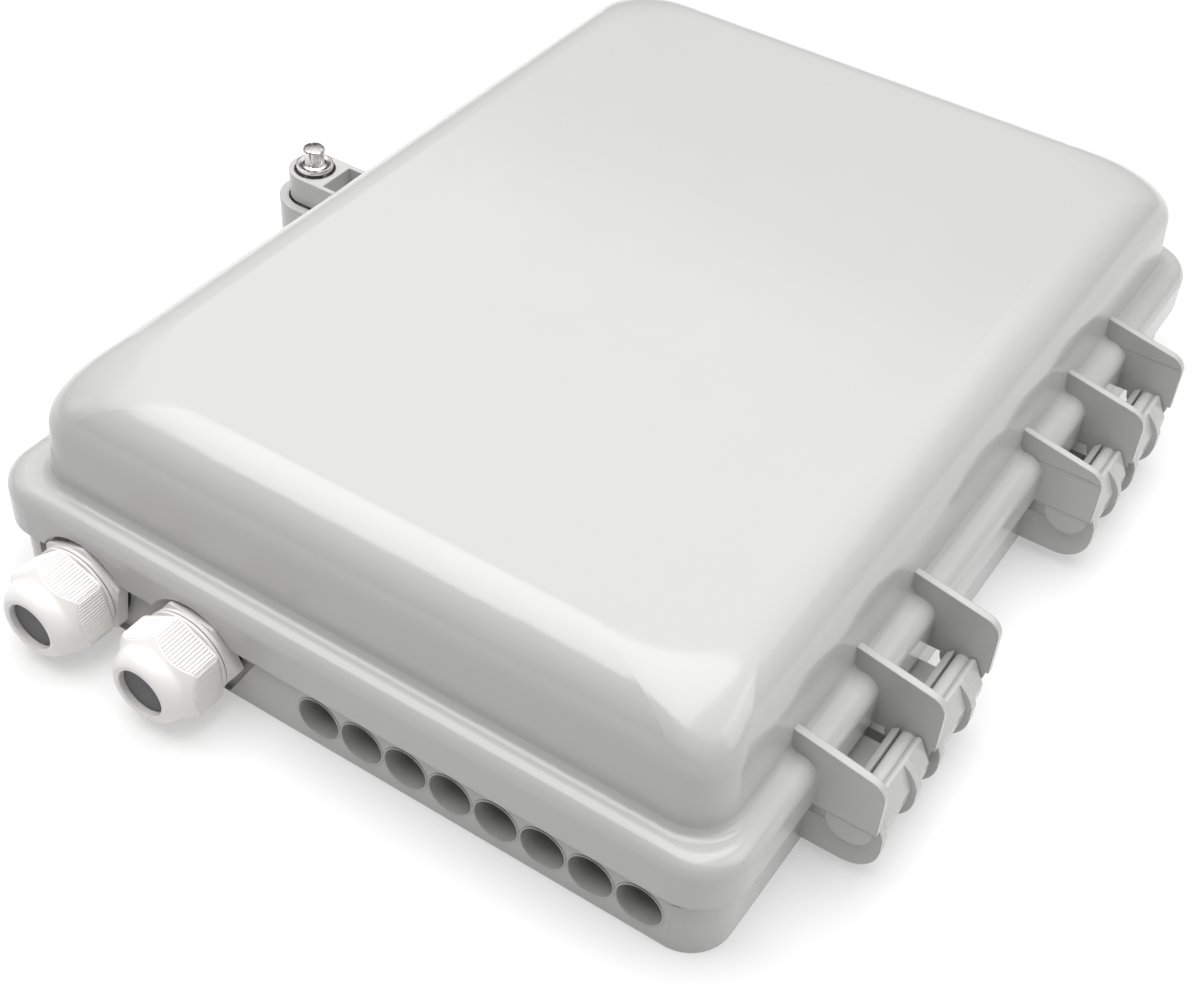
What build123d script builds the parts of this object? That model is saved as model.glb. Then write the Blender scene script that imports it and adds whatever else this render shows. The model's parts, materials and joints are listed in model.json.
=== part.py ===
"""Wall-mount fibre distribution box: hinged lid, two cable glands, eight drop ports.

Millimetres. The box lies on its back: the base is down and the lid is up.
X runs across the box from the lock (-X) to the hinge (+X), Y runs from the
port side (-Y) to the far end (+Y), and Z = 0 is the back of the base.
"""
from build123d import *
import math
import os

os.makedirs("parts", exist_ok=True)

# Overall size of the lid, which is the outline seen from above
box_width = 220.2
box_length = 292.8
box_corner_radius = 14.0
skirt_bottom_z = 21.1
flange_top_z = 35.4
lid_top_z = 67.3

# Lid walls
lid_wall = 2.5
skirt_wall = 2.0
flange_edge_radius = 5.0
skirt_gap = 0.8

# Dome of the lid: insets from the skirt, and the rounding of its top edge
dome_inset_front = 7.4
dome_inset_back = 7.4
dome_inset_hinge = 7.4
dome_inset_lock = 10.8
dome_foot_radius = 11.0
dome_top_radius = 27.0
dome_edge_run = 15.6
dome_edge_rise = 16.6
dome_draft = 1.0
dome_cove_radius = 2.5
dome_edge_steps = 4
dome_inner_radius = 13.5
dome_inner_corner = 14.0

# Base
base_wall = 2.5
base_floor = 2.5
base_rim_z = 31.3
base_bottom_radius = 0.6
front_wall = 6.5
half_width = box_width / 2
half_length = box_length / 2
base_half_width = half_width - skirt_wall - skirt_gap
base_half_length = half_length - skirt_wall - skirt_gap
base_front_y = -base_half_length
base_inner_front_y = base_front_y + front_wall
base_inner_back_y = base_half_length - base_wall
base_inner_x = base_half_width - base_wall
base_corner_radius = box_corner_radius - skirt_wall - skirt_gap

# Drop ports in the front wall
port_count = 8
port_pitch = 13.2
port_first_inset = 113.6
port_first_x = half_width - port_first_inset
port_z = 10.1
port_radius = 6.1
port_tube_radius = 8.1
port_scallop_z = 16.9
port_depth = 16.0
port_front_step = 4.0
port_zone_margin = 10.0
port_xs = [port_first_x + i * port_pitch for i in range(port_count)]
port_inner_y = base_front_y + port_depth
port_seal_clearance = 0.05
port_seal_plug = 4.0
port_seal_flange_radius = 6.5
port_seal_flange = 1.5

# Cable glands
gland_insets = {"left": 32.1, "right": 69.1}
gland_xs = {side: -half_width + inset for side, inset in gland_insets.items()}
gland_z = 14.2
gland_recess = 1.5
gland_flats = 24.0
gland_hole_radius = 10.2
gland_thread_clearance = 0.1
gland_gasket_thickness = 1.5
gland_gasket_radius = 11.9
gland_flange = 3.5
gland_flange_flats = 24.4
gland_flange_turn = {"left": 21.0, "right": -5.0}
gland_nut_turn = {"left": 40.0, "right": 31.0}
gland_flange_rounding = 1.0
gland_collar = 1.0
gland_collar_radius = 12.4
gland_neck = 7.0
gland_spigot = 12.0
gland_wall_bore = 7.4
gland_nut_gap = 0.4
gland_nut_collar = 0.9
gland_nut_collar_radius = 12.7
gland_nut_length = 12.0
gland_nose_length = 5.0
gland_nose_radius = 8.3
gland_mouth_radius = 6.9
gland_thread_fit = 0.08
gland_seal_clearance = 0.35
gland_seal_recess = 1.8
gland_rib_height = 0.35
gland_rib_count = 9
gland_rib_start = 0.8
gland_rib_end = 2.6
gland_arch_clearance = 0.4
gland_corner_radius = gland_flats / 2 / math.cos(math.radians(30))
gland_flange_corner_radius = gland_flange_flats / 2 / math.cos(math.radians(30))
gland_wall_y = base_front_y + gland_recess
gland_flange_back_y = gland_wall_y - gland_gasket_thickness
gland_flange_front_y = gland_flange_back_y - gland_flange
gland_nut_back_y = gland_flange_front_y - gland_collar - gland_nut_gap
gland_hex_back_y = gland_nut_back_y - gland_nut_collar
gland_nut_front_y = gland_nut_back_y - gland_nut_length
gland_nut_front_length = gland_hex_back_y - gland_nut_front_y
gland_nose_y = gland_nut_front_y - gland_nose_length
gland_zone_top_inset = 86.9
gland_zone_bottom_inset = 77.1
gland_zone_top_x = -half_width + gland_zone_top_inset
gland_zone_bottom_x = -half_width + gland_zone_bottom_inset

# Snap hinges on the +X side
hinge_axis_reach = 9.5
hinge_axis_x = half_width + hinge_axis_reach
hinge_axis_z = 20.9
hinge_pin_radius = 2.4
hinge_fit = 0.08
hinge_knuckle_radius = 6.2
hinge_plate = 2.2
hinge_plate_pitch = 30.8
hinge_front_inset = 43.4
hinge_back_inset = 59.5
hinge_front_y = -half_length + hinge_front_inset
hinge_back_y = half_length - hinge_back_inset - 2 * hinge_plate_pitch
hinge_plate_ys = [start + step * hinge_plate_pitch for start in (hinge_front_y, hinge_back_y) for step in range(3)]
hinge_plate_reach = 16.5
hinge_plate_outer_x = half_width + hinge_plate_reach
hinge_plate_inner_top_z = 42.5
hinge_plate_outer_top_z = 37.4
hinge_plate_corner = 5.0
clasp_side_gap = 0.4
clasp_cheek = 2.6
clasp_cheek_pitch = 18.0
clasp_bottom_z = 4.5
clasp_web_z = 8.0
clasp_finger_radius = 6.5
clasp_floor_z = 15.5
clasp_reach = 17.5
clasp_outer_x = half_width + clasp_reach
clasp_web_x = clasp_outer_x - 1.5
clasp_belly_radius = 9.0
clasp_top_z = 24.2
clasp_fin_x = half_width + 5.2
clasp_fin = 1.9
clasp_mouth = 3.6

# Lock on the -X side
lock_reach = 23.9
lock_x = -half_width - lock_reach
lock_y = 14.0
ear_radius = 8.1
ear_bore_radius = 6.5
ear_floor_z = 29.0
ear_floor = 2.5
ear_rib = 1.6
lug_radius = 11.5
lug_wall = 2.9
lug_clearance = 0.5
lug_top_z = 26.0
lug_bottom_z = 1.0
lug_floor_z = 18.0
screw_head_radius = 3.3
screw_head_z = 42.8
screw_flange_radius = 5.8
screw_flange_z = 37.4
screw_flange = 1.2
screw_shank_radius = 2.5
screw_shank_fit = 0.3
screw_thread_fit = 0.08
insert_bore_radius = screw_shank_radius + screw_thread_fit
screw_tip_z = 18.0
insert_radius = 4.0
insert_length = 10.0
screw_room = 4.0
clip_radius = 4.4
clip = 1.0

# Gasket and the rib that holds it
gasket_width = 3.5
rib_gap_hinge = 3.5
rib_gap = 1.5
rib = 1.6
rib_bottom_z = 27.4
flange_under_z = flange_top_z - lid_wall
gasket_outer_x = base_half_width + 0.5
gasket_back_y = base_half_length + 0.5
gasket_front_y = base_inner_front_y - 3.0
gasket_radius = base_corner_radius + 0.5

# Fixing holes in the back
fixing_inset_x = 12.6
fixing_inset_y = 42.4
fixing_spacing_x = box_width - 2 * fixing_inset_x
fixing_spacing_y = box_length - 2 * fixing_inset_y
fixing_hole_radius = 2.75
fixing_pad_radius = 5.5
fixing_pad = 2.0

# Inside the box
boss_radius = 4.0
boss_hole_radius = 1.3
tray_floor_z = 12.0
tray_inset_front = 91.4
tray_inset_back = 31.4
tray_inset_side = 22.1
tray_length = box_length - tray_inset_front - tray_inset_back
tray_width = box_width - 2 * tray_inset_side
tray_center_y = (tray_inset_front - tray_inset_back) / 2
tray_depth = 10.0
tray_wall = 2.0
tray_corner_radius = 14.0
tray_boss_inset = 12.0
tray_boss_x = tray_width / 2 - tray_boss_inset
tray_boss_y = tray_length / 2 - tray_boss_inset
tray_entry = 14.0
tray_entry_x = tray_width / 2 - 2 * tray_entry
tray_cover = 1.5
tray_cover_step = 0.2
drum_radius = 26.0
drum_wall = 2.0
drum_offset_x = 45.0
comb_length = 44.0
comb_width = 24.0
comb_height = 6.5
comb_slots = 6
comb_slot = 2.6
comb_inset = 27.0
comb_offset_y = tray_length / 2 - comb_inset
splitter_length = 60.0
splitter_width = 7.0
splitter_height = 4.0
panel_setback = 41.1
panel_side_margin = 12.0
panel_y = base_inner_front_y + panel_setback
panel_thickness = 2.0
panel_height = 20.0
panel_foot = 10.0
adapter_width = 9.2
adapter_height = 12.8
adapter_length = 27.0
adapter_flange = 1.6
adapter_flange_overlap = 1.3
adapter_window_gap = 0.1
adapter_wall = 1.2
adapter_pocket = 11.0
cap_gap = 0.1
cap_grip = 5.0
clamp_y = base_inner_front_y + 21.1
clamp_span = 30.0
clamp_width = 9.0
clamp_thickness = 2.5
clamp_post_offset = 11.5
clamp_post_top_z = 11.0
clamp_arch_radius = 5.5
screw_length = 8.0
screw_cap_radius = 2.8
screw_cap = 1.8
screw_core_radius = 1.2


def save(part, name):
    """Label a finished piece and write it to its own STEP file."""
    part.label = name
    export_step(part, f"parts/{name}.step")


def dome_outline(height, inset, radius):
    """Rounded outline of the dome at one height, set in from its foot."""
    left = -half_width + dome_inset_lock + inset
    right = half_width - dome_inset_hinge - inset
    front = -half_length + dome_inset_front + inset
    back = half_length - dome_inset_back - inset
    with BuildSketch(Plane.XY.offset(height)) as outline:
        with Locations(((left + right) / 2, (front + back) / 2)):
            RectangleRounded(right - left, back - front, radius)
    return outline.sketch.faces()[0]


def dome_solid():
    """The dome: a drafted wall, and a rounded top edge with growing corners."""
    edge_z = lid_top_z - dome_edge_rise
    foot = dome_outline(flange_top_z - 0.5, 0, dome_foot_radius)
    shoulder = dome_outline(edge_z, dome_draft, dome_foot_radius)
    sections = [shoulder]
    for step in range(1, dome_edge_steps + 1):
        angle = math.radians(90 * step / dome_edge_steps)
        run = dome_edge_run * (1 - math.cos(angle))
        rise = dome_edge_rise * math.sin(angle)
        grown = dome_foot_radius + (dome_top_radius - dome_foot_radius) * (1 - math.cos(angle))
        sections.append(dome_outline(edge_z + rise, dome_draft + run, grown))
    lower = loft([foot, shoulder], ruled=True)
    upper = loft(sections)
    return lower + upper


def dome_cavity():
    """The hollow of the dome, with a rounded top edge of its own."""
    inset = dome_draft + lid_wall
    with BuildPart() as cavity:
        add(
            rounded_block(-half_width + dome_inset_lock + inset, half_width - dome_inset_hinge - inset,
                          -half_length + dome_inset_front + inset, half_length - dome_inset_back - inset,
                          flange_under_z, lid_top_z - lid_wall, dome_inner_corner)
        )
        fillet(cavity.faces().sort_by(Axis.Z)[-1].edges(), dome_inner_radius)
    return cavity.part


def rounded_block(x_min, x_max, y_min, y_max, z_min, z_max, radius):
    """An upright block with rounded corners between the given limits."""
    with BuildPart() as block:
        with BuildSketch(Plane.XY.offset(z_min)):
            with Locations(((x_min + x_max) / 2, (y_min + y_max) / 2)):
                RectangleRounded(x_max - x_min, y_max - y_min, radius)
        extrude(amount=z_max - z_min)
    return block.part


# Shapes shared by the lid and the base
arch_radius = gland_flange_corner_radius + gland_arch_clearance
dome_wall_x = half_width - dome_inset_hinge
lock_side_x = -half_width

# Lid shell: skirt, flange, dome, hinge plates with their pins, and the lock ear
with BuildPart() as lid_shell:
    add(
        rounded_block(-half_width, half_width, -half_length, half_length,
                      skirt_bottom_z, flange_top_z, box_corner_radius)
    )
    fillet(lid_shell.faces().sort_by(Axis.Z)[-1].edges(), flange_edge_radius)
    add(dome_solid())
    foot_edges = lid_shell.edges().filter_by(
        lambda e: abs(e.bounding_box().max.Z - flange_top_z) < 0.01
        and abs(e.bounding_box().min.Z - flange_top_z) < 0.01
        and e.center().X ** 2 / half_width**2 + e.center().Y ** 2 / half_length**2 > 0.2
    )
    dome_foot_edges = foot_edges.filter_by(
        lambda e: len([f for f in lid_shell.faces() if e in f.edges() and abs(f.normal_at(None).Z) < 0.2]) > 0
    )
    fillet(dome_foot_edges, dome_cove_radius)
    # Lock ear: a cup joined to the skirt by two ribs, with a floor between them
    with BuildSketch(Plane.XY.offset(ear_floor_z - ear_floor)):
        with Locations((lock_x, lock_y)):
            Circle(ear_radius)
        with Locations(((lock_x + lock_side_x) / 2 + 1, lock_y)):
            Rectangle(lock_side_x - lock_x + 2, 2 * ear_radius)
    extrude(amount=flange_top_z - ear_floor_z + ear_floor)
    add(
        rounded_block(-half_width + skirt_wall, half_width - skirt_wall,
                      -half_length + skirt_wall, half_length - skirt_wall,
                      skirt_bottom_z, flange_under_z, box_corner_radius - skirt_wall),
        mode=Mode.SUBTRACT,
    )
    add(dome_cavity(), mode=Mode.SUBTRACT)
    with BuildSketch(Plane.XY.offset(ear_floor_z)):
        with Locations((lock_x, lock_y)):
            Circle(ear_bore_radius)
        with BuildLine():
            Polyline(
                (lock_x + ear_radius + 0.4, lock_y - ear_radius + ear_rib),
                (lock_side_x - 1.0, lock_y - ear_radius + ear_rib),
                (lock_side_x - 1.0, lock_y + ear_radius - ear_rib),
                (lock_x + ear_radius + 0.4, lock_y + ear_radius - ear_rib),
                close=True,
            )
        make_face()
    extrude(amount=flange_top_z, mode=Mode.SUBTRACT)
    with BuildSketch(Plane.XY.offset(ear_floor_z - ear_floor)):
        with Locations((lock_x, lock_y)):
            Circle(screw_shank_radius + screw_shank_fit)
    extrude(amount=ear_floor, mode=Mode.SUBTRACT)
    # Notch in the skirt over the lock lug, and arches over the two glands
    with BuildSketch(Plane.XY.offset(skirt_bottom_z)):
        with Locations((lock_side_x + skirt_wall / 2, lock_y)):
            Rectangle(2 * skirt_wall, 2 * (lug_radius + lug_clearance))
    extrude(amount=ear_floor_z - ear_floor - skirt_bottom_z, mode=Mode.SUBTRACT)
    for gland_x in gland_xs.values():
        with BuildSketch(Plane.XZ.offset(half_length + 1)):
            with Locations((gland_x, gland_z)):
                Circle(arch_radius)
        extrude(amount=-(skirt_wall + 2), mode=Mode.SUBTRACT)
    # Rib that holds the gasket
    rib_left = -base_inner_x + rib_gap
    rib_right = base_inner_x - rib_gap_hinge
    rib_front = base_inner_front_y + rib_gap
    rib_back = base_inner_back_y - rib_gap
    rib_radius = base_corner_radius - base_wall
    with BuildSketch(Plane.XY.offset(rib_bottom_z)):
        with Locations(((rib_left + rib_right) / 2, (rib_front + rib_back) / 2)):
            RectangleRounded(rib_right - rib_left, rib_back - rib_front, rib_radius)
            RectangleRounded(rib_right - rib_left - 2 * rib, rib_back - rib_front - 2 * rib,
                             rib_radius - rib, mode=Mode.SUBTRACT)
    extrude(amount=flange_under_z - rib_bottom_z + 0.5)
    # Hinge plates, with the round knuckle that hangs below each
    for plate_y in hinge_plate_ys:
        with BuildSketch(Plane.XZ.offset(-plate_y - hinge_plate / 2)):
            with BuildLine():
                Polyline(
                    (dome_wall_x - 1.2, flange_under_z + 0.5),
                    (half_width - 1.0, flange_under_z + 0.5),
                    (half_width - 1.0, skirt_bottom_z),
                    (hinge_plate_outer_x, skirt_bottom_z),
                    (hinge_plate_outer_x, hinge_plate_outer_top_z),
                    (dome_wall_x - 1.2, hinge_plate_inner_top_z),
                    close=True,
                )
            make_face()
            fillet(vertices().group_by(Axis.X)[-1].sort_by(Axis.Y)[-1], hinge_plate_corner)
            with Locations((hinge_axis_x, hinge_axis_z)):
                Circle(hinge_knuckle_radius)
        extrude(amount=hinge_plate)
    for first in (0, 3):
        pin_start = hinge_plate_ys[first]
        pin_end = hinge_plate_ys[first + 2]
        with BuildSketch(Plane.XZ.offset(-pin_start)):
            with Locations((hinge_axis_x, hinge_axis_z)):
                Circle(hinge_pin_radius)
        extrude(amount=-(pin_end - pin_start))
save(lid_shell.part, "lid_shell")

# Gasket between the lid and the rim of the base
with BuildPart() as lid_gasket:
    with BuildSketch(Plane.XY.offset(base_rim_z)):
        with Locations((0, (gasket_front_y + gasket_back_y) / 2)):
            RectangleRounded(2 * gasket_outer_x, gasket_back_y - gasket_front_y, gasket_radius)
            RectangleRounded(2 * (gasket_outer_x - gasket_width),
                             gasket_back_y - gasket_front_y - 2 * gasket_width,
                             gasket_radius - gasket_width, mode=Mode.SUBTRACT)
    extrude(amount=flange_under_z - base_rim_z)
save(lid_gasket.part, "lid_gasket")

# Base shell: tray-shaped moulding with ports, gland holes, hinge clasps and the lock lug
port_zone_min_x = port_xs[0]
port_zone_max_x = port_xs[-1] + port_zone_margin
clasp_mouth_x = hinge_axis_x + clasp_mouth / 2
fin_right_x = clasp_fin_x + clasp_fin
socket_radius = hinge_pin_radius + hinge_fit


def clasp_slab(start_y, thickness, bottom_z, belly_radius, outer_x):
    """One slab of a hinge clasp: belly, outer finger, pin socket and inner fin."""
    belly_x = outer_x - belly_radius
    belly_z = bottom_z + belly_radius
    belly_reach = belly_radius * math.sqrt(0.5)
    with BuildPart() as slab:
        with BuildSketch(Plane.XZ.offset(-start_y)):
            with BuildLine():
                Line((outer_x, hinge_axis_z - 3.5), (outer_x, belly_z))
                ThreePointArc(
                    (outer_x, belly_z),
                    (belly_x + belly_reach, belly_z - belly_reach),
                    (belly_x, bottom_z),
                )
                Polyline(
                    (belly_x, bottom_z),
                    (base_half_width - 1.0, bottom_z),
                    (base_half_width - 1.0, clasp_floor_z),
                    (clasp_fin_x, clasp_floor_z),
                    (clasp_fin_x, clasp_top_z - 1.7),
                    (fin_right_x, clasp_top_z),
                    (fin_right_x, hinge_axis_z),
                    (clasp_mouth_x, hinge_axis_z),
                    (clasp_mouth_x, clasp_top_z - 0.6),
                    (clasp_mouth_x + 0.8, clasp_top_z),
                    (clasp_mouth_x + 1.6, clasp_top_z - 0.2),
                )
                ThreePointArc(
                    (clasp_mouth_x + 1.6, clasp_top_z - 0.2),
                    (outer_x - 1.7, hinge_axis_z + 0.2),
                    (outer_x, hinge_axis_z - 3.5),
                )
            make_face()
            with Locations((hinge_axis_x, hinge_axis_z)):
                Circle(socket_radius, mode=Mode.SUBTRACT)
        extrude(amount=-thickness)
    return slab.part


with BuildPart() as base_shell:
    add(
        rounded_block(-base_half_width, base_half_width, -base_half_length, base_half_length,
                      0, base_rim_z, base_corner_radius)
    )
    fillet(base_shell.faces().sort_by(Axis.Z)[0].edges(), base_bottom_radius)
    add(
        rounded_block(-base_inner_x, base_inner_x, base_inner_front_y, base_inner_back_y,
                      base_floor, base_rim_z, base_corner_radius - base_wall),
        mode=Mode.SUBTRACT,
    )
    # The wall steps back above the ports, and round the glands
    with BuildSketch(Plane.XY.offset(port_scallop_z)):
        with Locations(((port_zone_min_x + port_zone_max_x) / 2, base_front_y + port_front_step / 2)):
            Rectangle(port_zone_max_x - port_zone_min_x, port_front_step)
    extrude(amount=base_rim_z - port_scallop_z, mode=Mode.SUBTRACT)
    with BuildSketch(Plane.XZ.offset(base_half_length)):
        with BuildLine():
            Polyline(
                (-base_half_width + base_corner_radius, base_bottom_radius),
                (gland_zone_bottom_x, base_bottom_radius),
                (gland_zone_top_x, skirt_bottom_z - 4.0),
                (gland_zone_top_x, base_rim_z),
                (-base_half_width + base_corner_radius, base_rim_z),
                close=True,
            )
        make_face()
    extrude(amount=-gland_recess, mode=Mode.SUBTRACT)
    # Port tubes, scalloped on top
    with BuildSketch(Plane.XZ.offset(base_half_length)):
        for port_x in port_xs:
            with Locations((port_x, port_z)):
                Circle(port_tube_radius)
        with Locations(((port_xs[0] + port_xs[-1]) / 2, port_scallop_z / 2)):
            Rectangle(port_xs[-1] - port_xs[0] + 2 * port_tube_radius, port_scallop_z - 2 * base_bottom_radius)
    extrude(amount=-port_depth)
    with BuildSketch(Plane.XZ.offset(base_half_length)):
        for port_x in port_xs:
            with Locations((port_x, port_z)):
                Circle(port_radius)
    extrude(amount=-port_depth, mode=Mode.SUBTRACT)
    # Gland holes
    with BuildSketch(Plane.XZ.offset(base_half_length)):
        for gland_x in gland_xs.values():
            with Locations((gland_x, gland_z)):
                Circle(gland_hole_radius)
    extrude(amount=-(front_wall + 1), mode=Mode.SUBTRACT)
    # Hinge clasps in the four bays between the lid's plates
    for bay in (0, 1, 3, 4):
        bay_start = hinge_plate_ys[bay] + hinge_plate / 2 + clasp_side_gap
        bay_end = hinge_plate_ys[bay + 1] - hinge_plate / 2 - clasp_side_gap
        add(clasp_slab(bay_start, bay_end - bay_start, clasp_web_z, clasp_finger_radius, clasp_web_x))
        add(clasp_slab(bay_start, clasp_cheek, clasp_bottom_z, clasp_belly_radius, clasp_outer_x))
        add(clasp_slab(bay_start + clasp_cheek_pitch, clasp_cheek, clasp_bottom_z, clasp_belly_radius, clasp_outer_x))
    # Lock lug: an open cup round the lid's ear, with a boss for the insert
    with BuildSketch(Plane.XY.offset(lug_bottom_z)):
        with Locations((lock_x, lock_y)):
            Circle(lug_radius)
        with Locations(((lock_x - base_half_width) / 2 + 1, lock_y)):
            Rectangle(-base_half_width - lock_x + 2, 2 * lug_radius)
    extrude(amount=lug_top_z - lug_bottom_z)
    with BuildSketch(Plane.XY.offset(lug_floor_z)):
        with Locations((lock_x, lock_y)):
            Circle(lug_radius - lug_wall)
        with Locations(((lock_x - base_half_width) / 2, lock_y)):
            Rectangle(-base_half_width - lock_x, 2 * (lug_radius - lug_wall))
    extrude(amount=lug_top_z - lug_floor_z, mode=Mode.SUBTRACT)
    with BuildSketch(Plane.XY.offset(lug_floor_z)):
        with Locations((lock_x, lock_y)):
            Circle(insert_radius)
    extrude(amount=-insert_length - screw_room, mode=Mode.SUBTRACT)
    # Fixing holes through the back, with round pads inside
    with BuildSketch(Plane.XY.offset(base_floor)):
        with GridLocations(fixing_spacing_x, fixing_spacing_y, 2, 2):
            Circle(fixing_pad_radius)
    extrude(amount=fixing_pad)
    with BuildSketch(Plane.XY):
        with GridLocations(fixing_spacing_x, fixing_spacing_y, 2, 2):
            Circle(fixing_hole_radius)
    extrude(amount=base_floor + fixing_pad, mode=Mode.SUBTRACT)
    # Bosses for the tray, the adapter panel and the cable clamps
    with BuildSketch(Plane.XY.offset(base_floor)):
        with Locations((0, tray_center_y)):
            with GridLocations(2 * tray_boss_x, 2 * tray_boss_y, 2, 2):
                Circle(boss_radius)
                Circle(boss_hole_radius, mode=Mode.SUBTRACT)
    extrude(amount=tray_floor_z - base_floor)
    with BuildSketch(Plane.XY.offset(base_floor)):
        for gland_x in gland_xs.values():
            with Locations((gland_x, clamp_y)):
                with GridLocations(2 * clamp_post_offset, 1, 2, 1):
                    Circle(boss_radius)
                    Circle(boss_hole_radius, mode=Mode.SUBTRACT)
    extrude(amount=clamp_post_top_z - base_floor)
save(base_shell.part, "base_shell")

# Port seals: a rubber plug in the inner end of each tube
for number, port_x in enumerate(port_xs, start=1):
    with BuildPart() as port_seal:
        with BuildSketch(Plane.XZ.offset(-port_inner_y)):
            with Locations((port_x, port_z)):
                Circle(port_radius - port_seal_clearance)
        extrude(amount=port_seal_plug)
        with BuildSketch(Plane.XZ.offset(-port_inner_y)):
            with Locations((port_x, port_z)):
                Circle(port_seal_flange_radius)
        extrude(amount=-port_seal_flange)
    save(port_seal.part, f"port_seal_{number}")

# Cable glands: body, sealing washer, rubber seal and ribbed cap nut
thread_radius = gland_hole_radius - gland_thread_clearance - 0.5
for side, gland_x in gland_xs.items():
    axis_plane = Plane(origin=(gland_x, 0, gland_z), x_dir=(1, 0, 0), z_dir=(0, -1, 0))

    with BuildPart() as gland_gasket:
        with BuildSketch(axis_plane.offset(-gland_wall_y)):
            Circle(gland_gasket_radius)
            Circle(gland_hole_radius + 0.2, mode=Mode.SUBTRACT)
        extrude(amount=gland_gasket_thickness)
    save(gland_gasket.part, f"gland_{side}_gasket")

    with BuildPart() as gland_body:
        with BuildSketch(axis_plane.offset(-gland_flange_back_y)):
            RegularPolygon(gland_flange_corner_radius, 6, rotation=gland_flange_turn[side])
            fillet(vertices(), gland_flange_rounding)
        extrude(amount=gland_flange)
        with BuildSketch(axis_plane.offset(-gland_flange_front_y)):
            Circle(gland_collar_radius)
        extrude(amount=gland_collar)
        with BuildSketch(axis_plane.offset(-gland_flange_front_y)):
            Circle(thread_radius)
        extrude(amount=gland_neck)
        with BuildSketch(axis_plane.offset(-gland_flange_back_y)):
            Circle(gland_hole_radius - gland_thread_clearance)
        extrude(amount=-gland_spigot)
        with BuildSketch(axis_plane.offset(-gland_flange_back_y - gland_spigot)):
            Circle(gland_wall_bore)
        extrude(amount=gland_spigot + gland_flange + gland_neck, mode=Mode.SUBTRACT)
    save(gland_body.part, f"gland_{side}_body")

    seal_front_y = gland_nose_y + gland_seal_recess
    with BuildPart() as gland_seal:
        with BuildSketch(axis_plane.offset(-gland_flange_front_y)):
            Circle(gland_wall_bore - port_seal_clearance)
        extrude(amount=gland_neck)
        with BuildSketch(axis_plane.offset(-gland_flange_front_y + 2)):
            Circle(gland_mouth_radius - gland_seal_clearance)
        extrude(amount=gland_flange_front_y - 2 - seal_front_y)
    save(gland_seal.part, f"gland_{side}_seal")

    with BuildPart() as gland_nut:
        with BuildSketch(axis_plane.offset(-gland_hex_back_y)):
            RegularPolygon(gland_corner_radius, 6, rotation=gland_nut_turn[side])
        extrude(amount=gland_nut_front_length)
        # Fine grip ribs along each flat
        rib_pitch = gland_corner_radius / (gland_rib_count + 1)
        for flat in range(6):
            turn = gland_nut_turn[side] + 30 + 60 * flat
            with BuildSketch(axis_plane.offset(-gland_hex_back_y - gland_rib_start)):
                with Locations(Rotation(0, 0, turn)):
                    for index in range(gland_rib_count):
                        shift = (index - (gland_rib_count - 1) / 2) * rib_pitch
                        with Locations((gland_flats / 2, shift)):
                            Rectangle(2 * gland_rib_height, rib_pitch * 0.5)
            extrude(amount=gland_nut_front_length - gland_rib_start - gland_rib_end)
        with BuildSketch(Plane(origin=(gland_x, 0, gland_z), x_dir=(1, 0, 0), z_dir=(0, 0, 1))):
            with BuildLine():
                Polyline(
                    (0, gland_hex_back_y),
                    (gland_corner_radius - 0.6, gland_hex_back_y),
                    (gland_corner_radius + 0.4, gland_hex_back_y - 1.0),
                    (gland_corner_radius + 0.4, gland_nut_front_y + 3.2),
                    (gland_flats / 2 - 0.5, gland_nut_front_y),
                    (0, gland_nut_front_y),
                    close=True,
                )
            make_face()
        revolve(axis=Axis((gland_x, 0, gland_z), (0, 1, 0)), mode=Mode.INTERSECT)
        with BuildSketch(Plane(origin=(gland_x, 0, gland_z), x_dir=(1, 0, 0), z_dir=(0, 0, 1))):
            with BuildLine():
                Line((0, gland_nut_front_y + 1), (gland_flats / 2 - 0.5, gland_nut_front_y + 1))
                Line((gland_flats / 2 - 0.5, gland_nut_front_y + 1), (gland_flats / 2 - 0.5, gland_nut_front_y))
                ThreePointArc(
                    (gland_flats / 2 - 0.5, gland_nut_front_y),
                    (gland_flats / 2 - 1.7, gland_nut_front_y - 3.0),
                    (gland_nose_radius, gland_nose_y),
                )
                Line((gland_nose_radius, gland_nose_y), (0, gland_nose_y))
                Line((0, gland_nose_y), (0, gland_nut_front_y + 1))
            make_face()
        revolve(axis=Axis((gland_x, 0, gland_z), (0, 1, 0)))
        with BuildSketch(axis_plane.offset(-gland_nut_back_y)):
            Circle(gland_nut_collar_radius)
        extrude(amount=gland_nut_collar)
        with BuildSketch(axis_plane.offset(-gland_nut_back_y)):
            Circle(thread_radius + gland_thread_fit)
        extrude(amount=gland_nut_length - 3, mode=Mode.SUBTRACT)
        with BuildSketch(axis_plane.offset(-gland_nut_back_y)):
            Circle(gland_mouth_radius)
        extrude(amount=gland_nut_length + gland_nose_length, mode=Mode.SUBTRACT)
    save(gland_nut.part, f"gland_{side}_nut")

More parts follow.
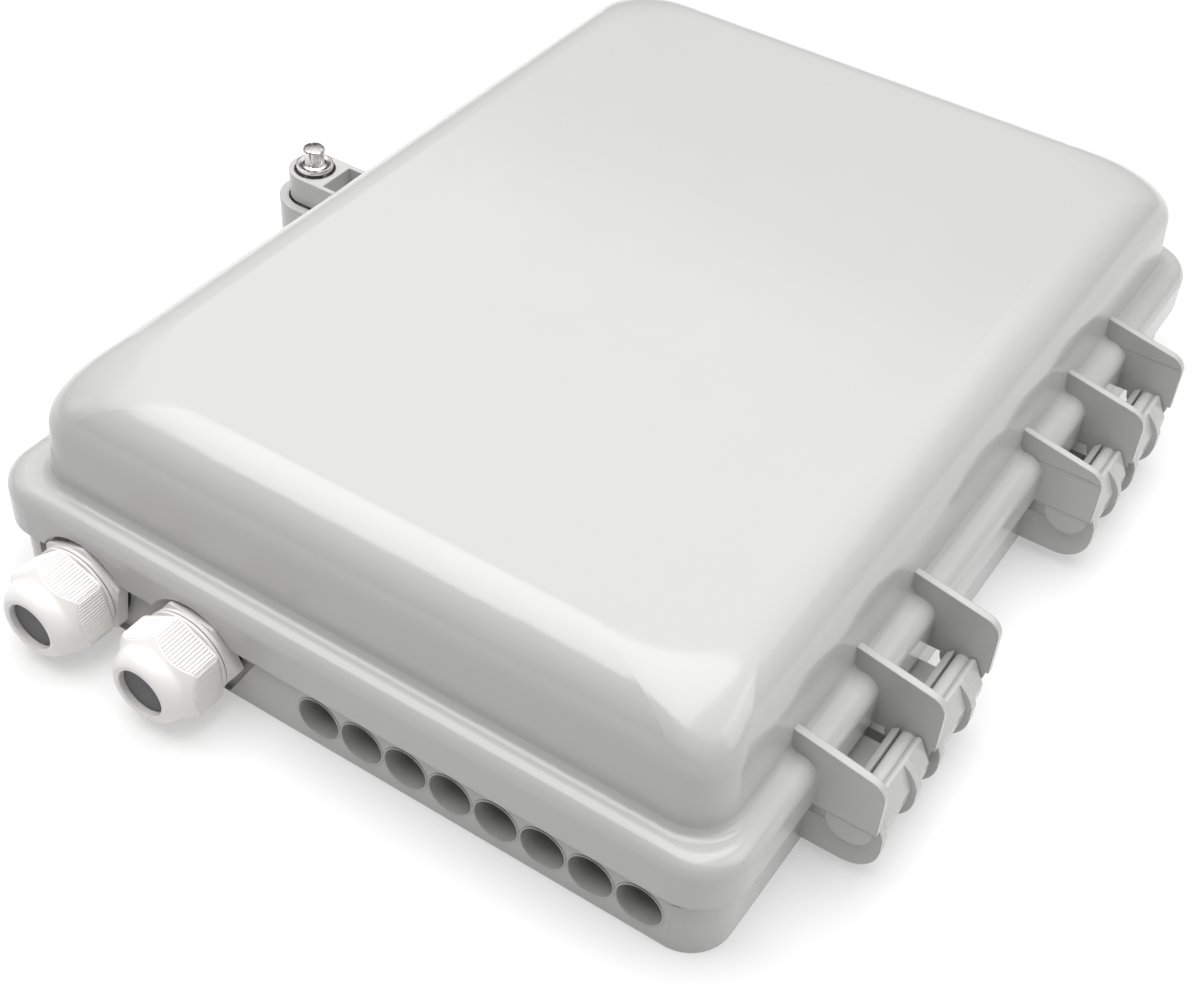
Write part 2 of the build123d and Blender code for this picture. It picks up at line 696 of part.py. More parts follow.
# Captive lock screw with its clip, and the threaded insert in the base
lock_plane = Plane(origin=(lock_x, lock_y, 0))
with BuildPart() as lock_screw:
    with BuildSketch(lock_plane.offset(screw_flange_z)):
        Circle(screw_head_radius)
        with Locations((screw_head_radius, 0), (-screw_head_radius * 0.5, screw_head_radius * 0.87)):
            Circle(1.1, mode=Mode.SUBTRACT)
    extrude(amount=screw_head_z - screw_flange_z)
    chamfer(lock_screw.faces().sort_by(Axis.Z)[-1].edges(), 0.3)
    with BuildSketch(lock_plane.offset(screw_flange_z - screw_flange)):
        Circle(screw_flange_radius)
    extrude(amount=screw_flange)
    with BuildSketch(lock_plane.offset(screw_tip_z)):
        Circle(screw_shank_radius)
    extrude(amount=screw_flange_z - screw_tip_z)
    chamfer(lock_screw.edges().group_by(Axis.Z)[0], 0.6)
save(lock_screw.part, "lock_screw")

with BuildPart() as lock_clip:
    with BuildSketch(lock_plane.offset(ear_floor_z - ear_floor - 0.3)):
        Circle(clip_radius)
        Circle(screw_shank_radius + 0.02, mode=Mode.SUBTRACT)
        with Locations((0, -clip_radius)):
            Rectangle(2.4, 2 * clip_radius, mode=Mode.SUBTRACT)
    extrude(amount=-clip)
save(lock_clip.part, "lock_clip")

with BuildPart() as lock_insert:
    with BuildSketch(lock_plane.offset(lug_floor_z)):
        Circle(insert_radius - 0.02)
        Circle(insert_bore_radius, mode=Mode.SUBTRACT)
    extrude(amount=-insert_length)
save(lock_insert.part, "lock_insert")

# Splice tray on its four bosses
tray_half_width = tray_width / 2
tray_half_length = tray_length / 2
tray_floor = 1.6
with BuildPart() as splice_tray:
    add(
        rounded_block(-tray_half_width, tray_half_width,
                      tray_center_y - tray_half_length, tray_center_y + tray_half_length,
                      tray_floor_z, tray_floor_z + tray_depth, tray_corner_radius)
    )
    add(
        rounded_block(-tray_half_width + tray_wall, tray_half_width - tray_wall,
                      tray_center_y - tray_half_length + tray_wall,
                      tray_center_y + tray_half_length - tray_wall,
                      tray_floor_z + tray_floor, tray_floor_z + tray_depth,
                      tray_corner_radius - tray_wall),
        mode=Mode.SUBTRACT,
    )
    with BuildSketch(Plane.XY.offset(tray_floor_z + tray_floor)):
        for drum_x in (-drum_offset_x, drum_offset_x):
            with Locations((drum_x, tray_center_y)):
                Circle(drum_radius)
                Circle(drum_radius - drum_wall, mode=Mode.SUBTRACT)
    extrude(amount=tray_depth - tray_floor - 1)
    # Fibre entries in the wall nearest the ports
    with BuildSketch(Plane.XY.offset(tray_floor_z + tray_floor)):
        for entry_x in (-tray_entry_x, tray_entry_x):
            with Locations((entry_x, tray_center_y - tray_half_length + tray_wall / 2)):
                Rectangle(tray_entry, 2 * tray_wall)
    extrude(amount=tray_depth, mode=Mode.SUBTRACT)
    with BuildSketch(Plane.XY.offset(tray_floor_z)):
        with Locations((0, tray_center_y)):
            with GridLocations(2 * tray_boss_x, 2 * tray_boss_y, 2, 2):
                Circle(screw_core_radius + 0.3)
    extrude(amount=tray_floor, mode=Mode.SUBTRACT)
save(splice_tray.part, "splice_tray")

# Screws that hold the tray
with BuildPart() as tray_screws:
    with BuildSketch(Plane.XY.offset(tray_floor_z + tray_floor)):
        with Locations((0, tray_center_y)):
            with GridLocations(2 * tray_boss_x, 2 * tray_boss_y, 2, 2):
                Circle(screw_cap_radius)
    extrude(amount=screw_cap)
    with BuildSketch(Plane.XY.offset(tray_floor_z + tray_floor)):
        with Locations((0, tray_center_y)):
            with GridLocations(2 * tray_boss_x, 2 * tray_boss_y, 2, 2):
                Circle(screw_core_radius)
    extrude(amount=-screw_length)
save(tray_screws.part, "tray_screws")

# Rubber splice combs
for number, side in enumerate((-1, 1), start=1):
    comb_y = tray_center_y + side * comb_offset_y
    with BuildPart() as splice_comb:
        with BuildSketch(Plane.XY.offset(tray_floor_z + tray_floor)):
            with Locations((0, comb_y)):
                Rectangle(comb_length, comb_width)
        extrude(amount=comb_height)
        with BuildSketch(Plane.XY.offset(tray_floor_z + tray_floor + 1.5)):
            with Locations((0, comb_y)):
                with GridLocations(1, comb_width / comb_slots, 1, comb_slots):
                    Rectangle(comb_length, comb_slot)
        extrude(amount=comb_height, mode=Mode.SUBTRACT)
    save(splice_comb.part, f"splice_comb_{number}")

# Clear cover that snaps on the tray
with BuildPart() as tray_cover_part:
    add(
        rounded_block(-tray_half_width, tray_half_width,
                      tray_center_y - tray_half_length, tray_center_y + tray_half_length,
                      tray_floor_z + tray_depth, tray_floor_z + tray_depth + tray_cover,
                      tray_corner_radius)
    )
    with BuildSketch(Plane.XY.offset(tray_floor_z + tray_depth)):
        with Locations((0, tray_center_y - tray_half_length)):
            Circle(9)
    extrude(amount=tray_cover, mode=Mode.SUBTRACT)
save(tray_cover_part.part, "tray_cover")

# Splitter tube between the drums
with BuildPart() as splitter:
    with BuildSketch(Plane.XY.offset(tray_floor_z + tray_floor)):
        with Locations((0, tray_center_y)):
            RectangleRounded(splitter_width, splitter_length, 0.8)
    extrude(amount=splitter_height)
save(splitter.part, "splitter")

# Adapter panel: an upright plate with a foot, behind the ports
panel_min_x = port_xs[0] - panel_side_margin
panel_max_x = port_xs[-1] + panel_side_margin
panel_center_x = (panel_min_x + panel_max_x) / 2
panel_width = panel_max_x - panel_min_x
adapter_z = base_floor + panel_height / 2 + 1.5
with BuildPart() as adapter_panel:
    with BuildSketch(Plane.XY.offset(base_floor)):
        with Locations((panel_center_x, panel_y + panel_thickness / 2)):
            Rectangle(panel_width, panel_thickness)
    extrude(amount=panel_height + 2.0)
    with BuildSketch(Plane.XY.offset(base_floor)):
        with Locations((panel_center_x, panel_y + panel_foot / 2)):
            Rectangle(panel_width, panel_foot)
    extrude(amount=panel_thickness)
    with BuildSketch(Plane.XZ.offset(-panel_y)):
        for port_x in port_xs:
            with Locations((port_x, adapter_z)):
                Rectangle(adapter_width + 2 * adapter_window_gap, adapter_height + 2 * adapter_window_gap)
    extrude(amount=-panel_thickness, mode=Mode.SUBTRACT)
save(adapter_panel.part, "adapter_panel")

# Adapters and their dust caps
adapter_front_y = panel_y - adapter_length / 2
for number, port_x in enumerate(port_xs, start=1):
    front_plane = Plane(origin=(port_x, 0, adapter_z), x_dir=(1, 0, 0), z_dir=(0, -1, 0))
    with BuildPart() as adapter:
        with BuildSketch(front_plane.offset(-adapter_front_y - adapter_length)):
            Rectangle(adapter_width, adapter_height)
        extrude(amount=adapter_length)
        with BuildSketch(front_plane.offset(-panel_y)):
            Rectangle(adapter_width + 2 * adapter_flange_overlap, adapter_height + 2 * adapter_flange_overlap)
        extrude(amount=adapter_flange)
        with BuildSketch(front_plane.offset(-adapter_front_y)):
            Rectangle(adapter_width - 2 * adapter_wall, adapter_height - 2 * adapter_wall)
        extrude(amount=-adapter_pocket, mode=Mode.SUBTRACT)
    save(adapter.part, f"adapter_{number}")

    with BuildPart() as dust_cap:
        with BuildSketch(front_plane.offset(-adapter_front_y)):
            Rectangle(adapter_width - 2 * (adapter_wall + cap_gap), adapter_height - 2 * (adapter_wall + cap_gap))
        extrude(amount=-adapter_pocket + 1)
        with BuildSketch(front_plane.offset(-adapter_front_y)):
            Rectangle(adapter_width - 1.0, adapter_height - 1.0)
        extrude(amount=cap_grip)
    save(dust_cap.part, f"dust_cap_{number}")

# Cable clamps inside the gland wall
for side, gland_x in gland_xs.items():
    with BuildPart() as cable_clamp:
        with BuildSketch(Plane.XZ.offset(-clamp_y + clamp_width / 2)):
            with Locations((gland_x, clamp_post_top_z + clamp_thickness / 2)):
                Rectangle(clamp_span, clamp_thickness)
            with Locations((gland_x, clamp_post_top_z)):
                Circle(clamp_arch_radius + clamp_thickness)
            with Locations((gland_x, clamp_post_top_z - 10)):
                Rectangle(clamp_span, 20, mode=Mode.SUBTRACT)
            with Locations((gland_x, clamp_post_top_z)):
                Circle(clamp_arch_radius, mode=Mode.SUBTRACT)
        extrude(amount=-clamp_width)
        with BuildSketch(Plane.XY.offset(clamp_post_top_z)):
            with Locations((gland_x, clamp_y)):
                with GridLocations(2 * clamp_post_offset, 1, 2, 1):
                    Circle(screw_core_radius + 0.3)
        extrude(amount=clamp_thickness, mode=Mode.SUBTRACT)
    save(cable_clamp.part, f"cable_clamp_{side}")

with BuildPart() as clamp_screws:
    for gland_x in gland_xs.values():
        with BuildSketch(Plane.XY.offset(clamp_post_top_z + clamp_thickness)):
            with Locations((gland_x, clamp_y)):
                with GridLocations(2 * clamp_post_offset, 1, 2, 1):
                    Circle(screw_cap_radius)
        extrude(amount=screw_cap)
        with BuildSketch(Plane.XY.offset(clamp_post_top_z + clamp_thickness)):
            with Locations((gland_x, clamp_y)):
                with GridLocations(2 * clamp_post_offset, 1, 2, 1):
                    Circle(screw_core_radius)
        extrude(amount=-screw_length)
save(clamp_screws.part, "clamp_screws")
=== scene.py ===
"""Looks of the fibre distribution box: materials, small details, light and camera."""

import json
import math

import bmesh
import bpy
from mathutils import Matrix, Vector


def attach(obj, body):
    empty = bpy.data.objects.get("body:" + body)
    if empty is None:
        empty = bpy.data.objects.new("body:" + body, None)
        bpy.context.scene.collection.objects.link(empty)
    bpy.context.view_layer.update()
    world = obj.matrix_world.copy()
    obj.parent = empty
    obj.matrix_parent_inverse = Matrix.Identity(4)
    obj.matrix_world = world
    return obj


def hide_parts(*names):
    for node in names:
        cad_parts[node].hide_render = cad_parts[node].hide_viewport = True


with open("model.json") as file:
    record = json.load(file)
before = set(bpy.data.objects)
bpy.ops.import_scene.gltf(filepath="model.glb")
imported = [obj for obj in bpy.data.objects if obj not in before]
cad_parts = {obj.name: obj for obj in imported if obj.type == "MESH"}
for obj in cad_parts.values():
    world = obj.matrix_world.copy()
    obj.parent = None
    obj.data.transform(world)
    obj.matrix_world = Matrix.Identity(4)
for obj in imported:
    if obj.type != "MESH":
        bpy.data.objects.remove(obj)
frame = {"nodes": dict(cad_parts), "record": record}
bpy.context.scene.view_settings.view_transform = "Standard"
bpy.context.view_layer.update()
nodes = frame["nodes"]

# Camera: the photograph's viewpoint, in metres, degrees and millimetres of lens
camera_place = (0.1977, -0.3620, 0.3575)
camera_tilt = 47.247
camera_roll = -3.283
camera_heading = 33.244
camera_lens = 55.33
camera_sensor = 36.0
camera_clip_start = 0.01

# Ports and their seals, in metres
port_first_x = -0.0035
port_pitch = 0.0132
port_count = 8
port_z = 0.0101
port_radius = 0.0061
port_front_y = -0.1436
port_lip_radius = 0.0003
port_lip_inset = 0.00025
port_lip_columns = 64
port_lip_points = 8
seal_outer_y = -0.1316
seal_overlap = 0.0001
seal_segments = 48
# Radius and height of each point of the raised rings on a seal, from the rim to the middle
seal_rings = [
    (0.0056, 0.0), (0.0056, 0.0006), (0.0050, 0.0009), (0.0044, 0.0004), (0.0032, 0.0003),
    (0.0028, 0.0007), (0.0022, 0.0007), (0.0018, 0.0002), (0.0002, 0.0001),
]

# Cap nuts of the glands, in metres and degrees
gland_xs = {"left": -0.078, "right": -0.041}
gland_z = 0.0142
gland_flats = 0.024
gland_nut_turn = {"left": 40.0, "right": 31.0}
nut_back_y = -0.1485
hexagon_back_y = -0.1494
nut_front_y = -0.1605
nose_y = -0.1655
collar_radius = 0.0127
nose_radius = 0.0083
mouth_radius = 0.0069
bore_radius = 0.00968
collar_edge = 0.00015
collar_fillet = 0.0001
hexagon_edge = 0.0004
hexagon_corner_cut = 0.0002
columns_per_flat = 96
ribs_per_flat = 14
rib_height = 0.00034
rib_side_margin = 1.2
rib_roundness = 0.6
rib_back_gap = 0.0009
rib_front_overrun = 0.0006
rib_end_taper = 0.0002
rib_steps = 5
chamfer_inset = 0.0005
chamfer_slope = 0.86
chamfer_steps = 3
dome_start = 8
dome_swing = 64
dome_steps = 12
dome_inset = 0.0002
mouth_edge = 0.0003
mouth_depth = 0.003

# Hinge plates and the moulding lines across them, in metres
upper_line_plate_ys = (0.0253, 0.0869)
lower_line_plate_ys = (-0.1030, 0.0253)
plate_half = 0.0011
plate_inner_x = 0.1055
plate_outer_x = 0.1266
skirt_outer_x = 0.1101
skirt_bottom_z = 0.0211
upper_line_z = 0.0350
upper_line_end_x = 0.1258
lower_line_inset = 0.0001
lower_line_rise = 0.0003
line_width = 0.0004
line_height = 0.00015
line_root = 0.0001

# Lock screw, in metres
lock_x = -0.134
lock_y = 0.014
screw_head_z = 0.0428
screw_flange_z = 0.0374
screw_flange = 0.0012
screw_tip_z = 0.018
screw_shank_radius = 0.0025
screw_axis_radius = 0.0001
screw_columns = 180
notch_count = 5
notch_depth = 0.00045
notch_sharpness = 16
notch_fade = 0.6
# Radius and drop below the top of the head
head_rim = [(0.0001, 0.0), (0.0027, 0.0)]
head_side = [(0.0032, 0.00012), (0.0034, 0.0004), (0.00325, 0.0026)]
head_foot_radius = 0.0030
head_foot_rise = 0.0004
# Radius and drop below the highest ring of the washer face
washer_face = [
    (0.0032, 0.0001), (0.0040, 0.0004), (0.0052, 0.0), (0.0057, 0.0001), (0.0058, 0.0004),
]
washer_radius = 0.0058
thread_start_z = 0.0250
thread_first_z = 0.0248
thread_pitch = 0.001
thread_turns = 7
thread_crest_drop = 0.0001
thread_root_drop = 0.0005
thread_depth = 0.0004
tip_chamfer = 0.0006

# Angles between faces beyond which an edge is drawn sharp, in degrees
lathe_sharp = 35
nut_sharp = 28.0
lip_sharp = 60.0
screw_sharp = 32.0

floor_half = 4


def node_tree(name):
    """A new material with its node tree and its shader."""
    material = bpy.data.materials.new(name)
    material.use_nodes = True
    tree = material.node_tree
    return material, tree, tree.nodes["Principled BSDF"]


def noise(tree, scale, detail, roughness=0.5):
    """A noise texture in object coordinates."""
    coords = tree.nodes.new("ShaderNodeTexCoord")
    texture = tree.nodes.new("ShaderNodeTexNoise")
    texture.inputs["Scale"].default_value = scale
    texture.inputs["Detail"].default_value = detail
    texture.inputs["Roughness"].default_value = roughness
    tree.links.new(coords.outputs["Object"], texture.inputs["Vector"])
    return texture


def ramp(tree, source, low, high, target):
    """Feeds a texture into a shader input, mapped between two colours or two grey values."""
    mapped = tree.nodes.new("ShaderNodeValToRGB")
    mapped.color_ramp.elements[0].position = 0.3
    mapped.color_ramp.elements[1].position = 0.7
    mapped.color_ramp.elements[0].color = (*low, 1)
    mapped.color_ramp.elements[1].color = (*high, 1)
    tree.links.new(source.outputs["Fac"], mapped.inputs["Fac"])
    tree.links.new(mapped.outputs["Color"], target)


def bump(tree, source, shader, strength, distance):
    """Bump from a texture into the shader's normal."""
    node = tree.nodes.new("ShaderNodeBump")
    node.inputs["Strength"].default_value = strength
    node.inputs["Distance"].default_value = distance
    tree.links.new(source.outputs["Fac"], node.inputs["Height"])
    tree.links.new(node.outputs["Normal"], shader.inputs["Normal"])
    return node


def plastic(name, color, spread, rough, grain, grain_strength, specular=0.5, edge=0.0):
    """Moulded plastic: faint colour drift, uneven gloss, a fine grain and softened edges."""
    material, tree, shader = node_tree(name)
    drift = noise(tree, 9.0, 3.0)
    low = tuple(max(c - spread, 0) for c in color)
    high = tuple(min(c + spread, 1) for c in color)
    ramp(tree, drift, low, high, shader.inputs["Base Color"])
    smear = noise(tree, 60.0, 5.0, 0.6)
    ramp(tree, smear, (rough[0],) * 3, (rough[1],) * 3, shader.inputs["Roughness"])
    shader.inputs["Specular IOR Level"].default_value = specular
    fine = noise(tree, grain, 3.0)
    relief = bump(tree, fine, shader, grain_strength, 0.0002)
    if edge:
        soft = tree.nodes.new("ShaderNodeBevel")
        soft.samples = 6
        soft.inputs["Radius"].default_value = edge
        tree.links.new(soft.outputs["Normal"], relief.inputs["Normal"])
    return material


def metal(name, color, rough, scale, strength):
    """Plated or machined metal with fine uneven gloss."""
    material, tree, shader = node_tree(name)
    shader.inputs["Metallic"].default_value = 1.0
    drift = noise(tree, scale * 0.3, 3.0)
    ramp(tree, drift, tuple(c * 0.9 for c in color), color, shader.inputs["Base Color"])
    smear = noise(tree, scale, 5.0, 0.6)
    ramp(tree, smear, (rough[0],) * 3, (rough[1],) * 3, shader.inputs["Roughness"])
    bump(tree, smear, shader, strength, 0.0001)
    return material


def clear(name, color, rough, alpha):
    """Clear plastic with faintly uneven gloss."""
    material, tree, shader = node_tree(name)
    drift = noise(tree, 30.0, 4.0)
    ramp(tree, drift, (rough[0],) * 3, (rough[1],) * 3, shader.inputs["Roughness"])
    shader.inputs["Base Color"].default_value = (*color, 1)
    shader.inputs["Alpha"].default_value = alpha
    return material


slot_materials = {
    "shell_grey": plastic("shell_grey", (0.448, 0.447, 0.443), spread=0.004, rough=(0.13, 0.19),
                          grain=900.0, grain_strength=0.012, edge=0.0006),
    "gland_white": plastic("gland_white", (0.77, 0.75, 0.735), spread=0.010, rough=(0.30, 0.42),
                           grain=1500.0, grain_strength=0.08, edge=0.0001),
    "seal_grey": plastic("seal_grey", (0.115, 0.115, 0.12), spread=0.012, rough=(0.5, 0.7),
                         grain=1800.0, grain_strength=0.15, specular=0.4),
    "seal_black": plastic("seal_black", (0.03, 0.03, 0.032), spread=0.006, rough=(0.55, 0.75),
                          grain=1800.0, grain_strength=0.15, specular=0.4),
    "comb_rubber": plastic("comb_rubber", (0.42, 0.45, 0.50), spread=0.015, rough=(0.5, 0.65),
                           grain=1800.0, grain_strength=0.12, specular=0.4),
    "tray_white": plastic("tray_white", (0.74, 0.75, 0.75), spread=0.006, rough=(0.28, 0.38),
                          grain=1200.0, grain_strength=0.05),
    "adapter_green": plastic("adapter_green", (0.03, 0.30, 0.12), spread=0.008, rough=(0.25, 0.36),
                             grain=1500.0, grain_strength=0.05),
    "cap_black": plastic("cap_black", (0.035, 0.035, 0.036), spread=0.006, rough=(0.35, 0.5),
                         grain=1500.0, grain_strength=0.08),
    "nickel": metal("nickel", (0.74, 0.73, 0.71), rough=(0.20, 0.30), scale=700.0, strength=0.02),
    "steel": metal("steel", (0.62, 0.63, 0.64), rough=(0.25, 0.38), scale=900.0, strength=0.08),
    "brass": metal("brass", (0.72, 0.53, 0.22), rough=(0.22, 0.34), scale=900.0, strength=0.08),
    "clear_plastic": clear("clear_plastic", (0.80, 0.84, 0.86), rough=(0.08, 0.16), alpha=0.3),
}
for subpart in frame["record"]["subparts"]:
    node = nodes[subpart["node"]]
    for slot in node.material_slots:
        slot.material = slot_materials[subpart["material_slot"]]


def piece(name, mesh, body, slot):
    """Adds a mesh as a piece that rides on a body."""
    thing = bpy.data.objects.new(name, mesh)
    bpy.context.scene.collection.objects.link(thing)
    thing.data.materials.append(slot_materials[slot])
    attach(thing, body)
    return thing


def finished(name, build):
    """A mesh with outward normals from a bmesh, which is freed."""
    bmesh.ops.recalc_face_normals(build, faces=build.faces)
    mesh = bpy.data.meshes.new(name)
    build.to_mesh(mesh)
    build.free()
    return mesh


def smoothed(mesh, sharp):
    """Smooth shading with edges above an angle in degrees kept sharp."""
    mesh.shade_smooth()
    mesh.set_sharp_from_angle(angle=math.radians(sharp))
    return mesh


def lathe(name, profile, origin, axis, segments):
    """A mesh turned from (radius, height) points about an axis through origin."""
    build = bmesh.new()
    rings = []
    for radius, height in profile:
        ring = []
        for step in range(segments):
            turn = 2 * math.pi * step / segments
            ring.append(build.verts.new((radius * math.cos(turn), radius * math.sin(turn), height)))
        rings.append(ring)
    for lower, upper in zip(rings, rings[1:]):
        for step in range(segments):
            other = (step + 1) % segments
            build.faces.new((lower[step], lower[other], upper[other], upper[step]))
    build.faces.new(list(reversed(rings[0])))
    build.faces.new(rings[-1])
    turn = Vector((0, 0, 1)).rotation_difference(Vector(axis)).to_matrix().to_4x4()
    build.transform(Matrix.Translation(Vector(origin)) @ turn)
    return smoothed(finished(name, build), lathe_sharp)


def turned(name, columns, place, sharp):
    """A closed ring of profiles: place(angle, radius, height) sets each point of each column."""
    build = bmesh.new()
    rings = [[build.verts.new(place(angle, radius, height)) for radius, height in profile]
             for angle, profile in columns]
    for here, there in zip(rings, rings[1:] + rings[:1]):
        for step in range(len(here)):
            after = (step + 1) % len(here)
            build.faces.new((here[step], here[after], there[after], there[step]))
    return smoothed(finished(name, build), sharp)


def about_y(x, z):
    """Places points of turned() about a line through (x, z) that runs along Y."""
    return lambda angle, radius, height: (x + radius * math.cos(angle), height,
                                          z + radius * math.sin(angle))


def about_z(x, y):
    """Places points of turned() about a line through (x, y) that runs along Z."""
    return lambda angle, radius, height: (x + radius * math.cos(angle),
                                          y + radius * math.sin(angle), height)


def nut_profile(angle, turn):
    """Profile of a cap nut at one angle: collar, ribbed flat, chamfer cone, dome and bore."""
    offset = (angle - math.radians(turn)) % (math.pi / 3) - math.pi / 6
    along = gland_flats / 2 * math.tan(offset)
    half_side = gland_flats / 2 * math.tan(math.pi / 6)
    flat = min(gland_flats / 2 / math.cos(offset), half_side * 2 - hexagon_corner_cut)
    rib_pitch = 2 * half_side / (ribs_per_flat + rib_side_margin)
    wave = 0.5 + 0.5 * math.cos(2 * math.pi * along / rib_pitch)
    inside = abs(along) < (ribs_per_flat / 2) * rib_pitch
    rib = rib_height * wave ** rib_roundness if inside else 0.0
    front_radius = gland_flats / 2 - chamfer_inset
    chamfer_y = nut_front_y + (flat - front_radius) / chamfer_slope
    ribs_from = hexagon_back_y - rib_back_gap
    ribs_to = chamfer_y + rib_front_overrun
    points = [(bore_radius, nut_back_y),
              (collar_radius - collar_edge, nut_back_y),
              (collar_radius, nut_back_y - collar_edge),
              (collar_radius, hexagon_back_y + collar_fillet),
              (collar_radius - hexagon_edge, hexagon_back_y),
              (flat - hexagon_edge, hexagon_back_y),
              (flat, hexagon_back_y - hexagon_edge),
              (flat, ribs_from)]
    for step in range(rib_steps + 1):
        rib_reach = (ribs_to + rib_end_taper - ribs_from) * step / rib_steps
        points.append((flat + rib, ribs_from - rib_end_taper + rib_reach))
    points += [(flat, ribs_to - rib_end_taper), (flat, chamfer_y)]
    for step in range(1, chamfer_steps + 1):
        share = step / chamfer_steps
        points.append((flat + (front_radius - flat) * share,
                       chamfer_y + (nut_front_y - chamfer_y) * share))
    # Dome: an arc from the front of the hexagon to the nose
    dome_radius = front_radius - dome_inset
    start_sine = math.sin(math.radians(dome_start))
    end = math.radians(dome_start + dome_swing)
    for step in range(1, dome_steps + 1):
        swing = math.radians(dome_start + dome_swing * step / dome_steps)
        fall = (1 - math.cos(swing)) / (1 - math.cos(end))
        reach = (math.sin(swing) - start_sine) / (math.sin(end) - start_sine)
        points.append((dome_radius - (dome_radius - nose_radius) * fall,
                       nut_front_y + (nose_y - nut_front_y) * reach))
    points += [(nose_radius - mouth_edge, nose_y),
               (mouth_radius + mouth_edge, nose_y),
               (mouth_radius, nose_y + mouth_edge),
               (mouth_radius, nut_front_y + mouth_depth),
               (bore_radius, nut_front_y + mouth_depth)]
    return points


def screw_profile(angle):
    """Profile of the lock screw at one angle: notched head, washer face, shank and thread."""
    notch = notch_depth * max(0.0, math.cos(notch_count * angle)) ** notch_sharpness
    points = [(radius, screw_head_z - drop) for radius, drop in head_rim]
    points += [(radius - notch, screw_head_z - drop) for radius, drop in head_side]
    points.append((head_foot_radius - notch * notch_fade, screw_flange_z + head_foot_rise))
    points += [(radius, screw_flange_z - drop) for radius, drop in washer_face]
    points += [(washer_radius, screw_flange_z - screw_flange),
               (screw_shank_radius, screw_flange_z - screw_flange),
               (screw_shank_radius, thread_start_z)]
    for turn in range(thread_turns):
        top = thread_first_z - thread_pitch * turn
        points += [(screw_shank_radius, top - thread_crest_drop),
                   (screw_shank_radius - thread_depth, top - thread_root_drop)]
    points += [(screw_shank_radius - tip_chamfer, screw_tip_z), (screw_axis_radius, screw_tip_z)]
    return points


# Cap nuts with fine ribs on each flat
for side, gland_x in gland_xs.items():
    columns = []
    for step in range(6 * columns_per_flat):
        angle = 2 * math.pi * step / (6 * columns_per_flat) + math.radians(gland_nut_turn[side])
        columns.append((angle, nut_profile(angle, gland_nut_turn[side])))
    mesh = turned(f"ribbed_nut_{side}", columns, about_y(gland_x, gland_z), nut_sharp)
    nut = piece(f"ribbed_nut_{side}", mesh, f"{side}_cap_nut", "gland_white")
    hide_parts(f"gland_{side}_nut")

# Raised rings on the outer face of each port seal, and a soft lip round each port
port_lip = []
for step in range(port_lip_points):
    swing = 2 * math.pi * step / port_lip_points
    port_lip.append((port_radius + port_lip_inset + port_lip_radius * math.cos(swing),
                     port_front_y - port_lip_radius * math.sin(swing)))
for number in range(port_count):
    x = port_first_x + number * port_pitch
    mesh = lathe(f"port_membrane_{number + 1}", seal_rings,
                 (x, seal_outer_y + seal_overlap, port_z), (0, -1, 0), seal_segments)
    piece(f"port_membrane_{number + 1}", mesh, "base", "seal_grey")
    columns = [(2 * math.pi * step / port_lip_columns, port_lip)
               for step in range(port_lip_columns)]
    mesh = turned(f"port_lip_{number + 1}", columns, about_y(x, port_z), lip_sharp)
    piece(f"port_lip_{number + 1}", mesh, "base", "shell_grey")

# Fine moulding lines across the front faces of some hinge plates
moulding_lines = [(plate_y, plate_inner_x, upper_line_end_x, upper_line_z)
                  for plate_y in upper_line_plate_ys]
moulding_lines += [(plate_y, skirt_outer_x, plate_outer_x - lower_line_inset,
                    skirt_bottom_z + lower_line_rise) for plate_y in lower_line_plate_ys]
for number, (plate_y, start_x, end_x, line_z) in enumerate(moulding_lines, 1):
    face_y = plate_y - plate_half
    build = bmesh.new()
    ends = [[build.verts.new((x, face_y + line_root, line_z - line_width / 2)),
             build.verts.new((x, face_y + line_root, line_z + line_width / 2)),
             build.verts.new((x, face_y - line_height, line_z))] for x in (start_x, end_x)]
    build.faces.new(ends[0])
    build.faces.new(list(reversed(ends[1])))
    for corner in range(3):
        other = (corner + 1) % 3
        build.faces.new((ends[0][corner], ends[0][other], ends[1][other], ends[1][corner]))
    mesh = finished(f"moulding_line_{number}", build)
    piece(f"moulding_line_{number}", mesh, "lid", "shell_grey")

# Lock screw: dished washer face, a tapered head with small notches, and a threaded shank
columns = []
for step in range(screw_columns):
    angle = 2 * math.pi * step / screw_columns
    columns.append((angle, screw_profile(angle)))
mesh = turned("keyed_screw", columns, about_z(lock_x, lock_y), screw_sharp)
keyed_screw = piece("keyed_screw", mesh, "lock_screw", "nickel")
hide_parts("lock_screw")

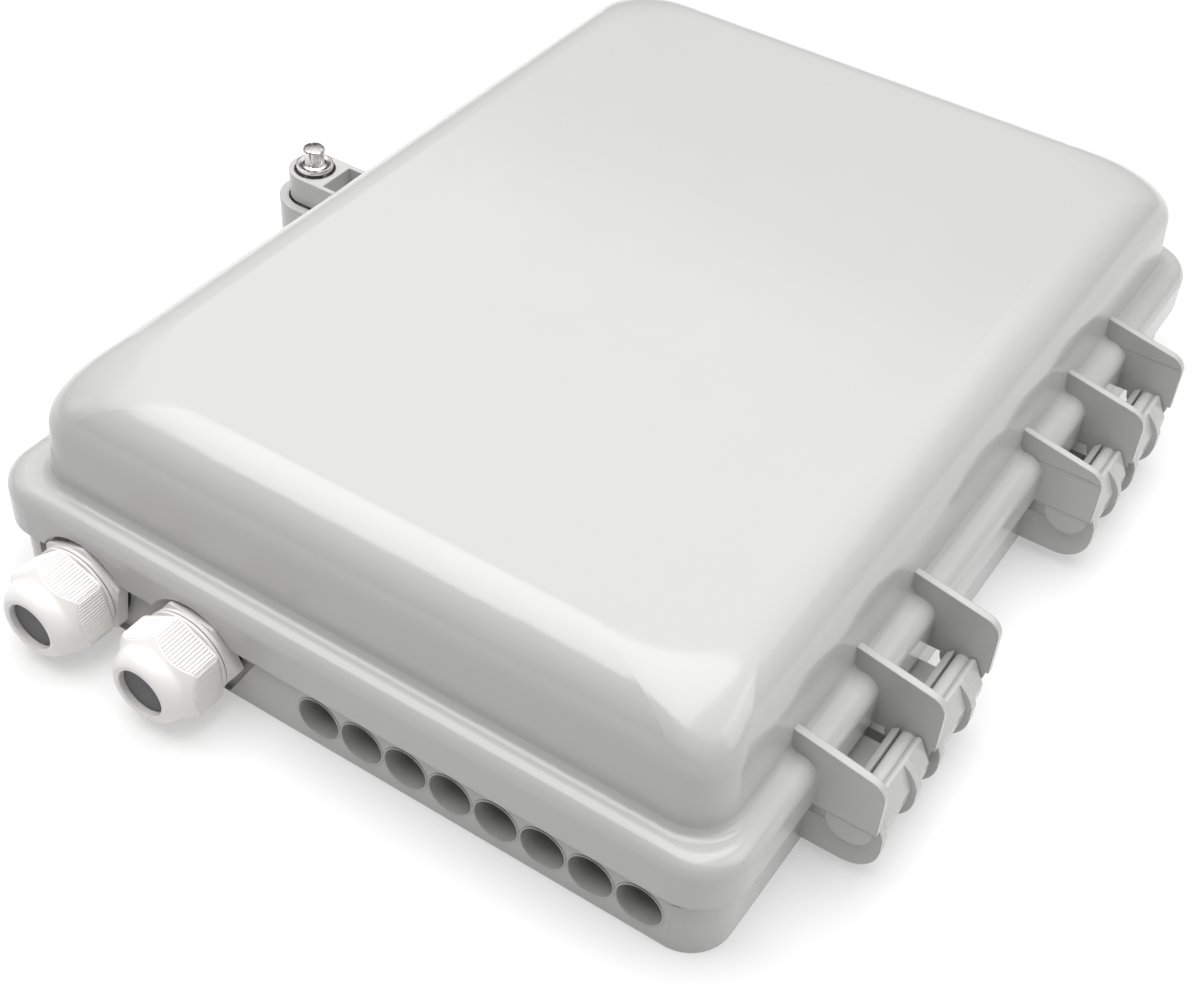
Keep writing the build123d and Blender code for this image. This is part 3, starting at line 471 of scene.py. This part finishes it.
# Floor
floor_corners = [(-floor_half, -floor_half, 0), (floor_half, -floor_half, 0),
                 (floor_half, floor_half, 0), (-floor_half, floor_half, 0)]
floor_mesh = bpy.data.meshes.new("floor")
floor_mesh.from_pydata(floor_corners, [], [(0, 1, 2, 3)])
floor = bpy.data.objects.new("floor", floor_mesh)
bpy.context.scene.collection.objects.link(floor)
floor_material, _, floor_shader = node_tree("floor")
floor_shader.inputs["Base Color"].default_value = (0.50, 0.50, 0.50, 1)
floor_shader.inputs["Roughness"].default_value = 0.9
floor_shader.inputs["Emission Color"].default_value = (1.0, 1.0, 1.0, 1)
floor_shader.inputs["Emission Strength"].default_value = 0.36
floor_shader.inputs["Specular IOR Level"].default_value = 0.1
floor.data.materials.append(floor_material)

# Light: a dim surround, a wide canopy, a brighter light overhead and a low one on each side
world = bpy.data.worlds.new("surround")
bpy.context.scene.world = world
world.use_nodes = True
world.node_tree.nodes["Background"].inputs["Color"].default_value = (1.0, 1.0, 1.0, 1)
world.node_tree.nodes["Background"].inputs["Strength"].default_value = 0.05


def area_light(name, place, target, width, height, radiance):
    """A rectangular soft light of a given brightness, aimed at a point."""
    data = bpy.data.lights.new(name, "AREA")
    data.shape = "RECTANGLE"
    data.size = width
    data.size_y = height
    data.energy = radiance * math.pi * width * height
    lamp = bpy.data.objects.new(name, data)
    lamp.location = place
    aim = Vector(target) - Vector(place)
    lamp.rotation_euler = aim.to_track_quat("-Z", "Y").to_euler()
    bpy.context.scene.collection.objects.link(lamp)


area_light("canopy", (0.0, 0.6, 1.9), (0.0, 0.6, 0.0), width=4.4, height=3.6, radiance=1.2)
area_light("overhead", (-0.3, -0.15, 1.4), (-0.3, -0.15, 0.0), width=1.6, height=1.6, radiance=3.05)
area_light("left", (-1.5, -0.6, 0.7), (0.0, 0.0, 0.0), width=0.7, height=0.6, radiance=0.8)
area_light("right", (1.4, 0.3, 0.9), (0.0, 0.0, 0.0), width=1.2, height=1.0, radiance=1.9)

# Camera
camera_data = bpy.data.cameras.new("camera")
camera_data.sensor_fit = "HORIZONTAL"
camera_data.sensor_width = camera_sensor
camera_data.lens = camera_lens
camera_data.clip_start = camera_clip_start
camera = bpy.data.objects.new("camera", camera_data)
camera.location = camera_place
camera.rotation_mode = "XYZ"
camera.rotation_euler = [math.radians(a) for a in (camera_tilt, camera_roll, camera_heading)]
bpy.context.scene.collection.objects.link(camera)
bpy.context.scene.camera = camera
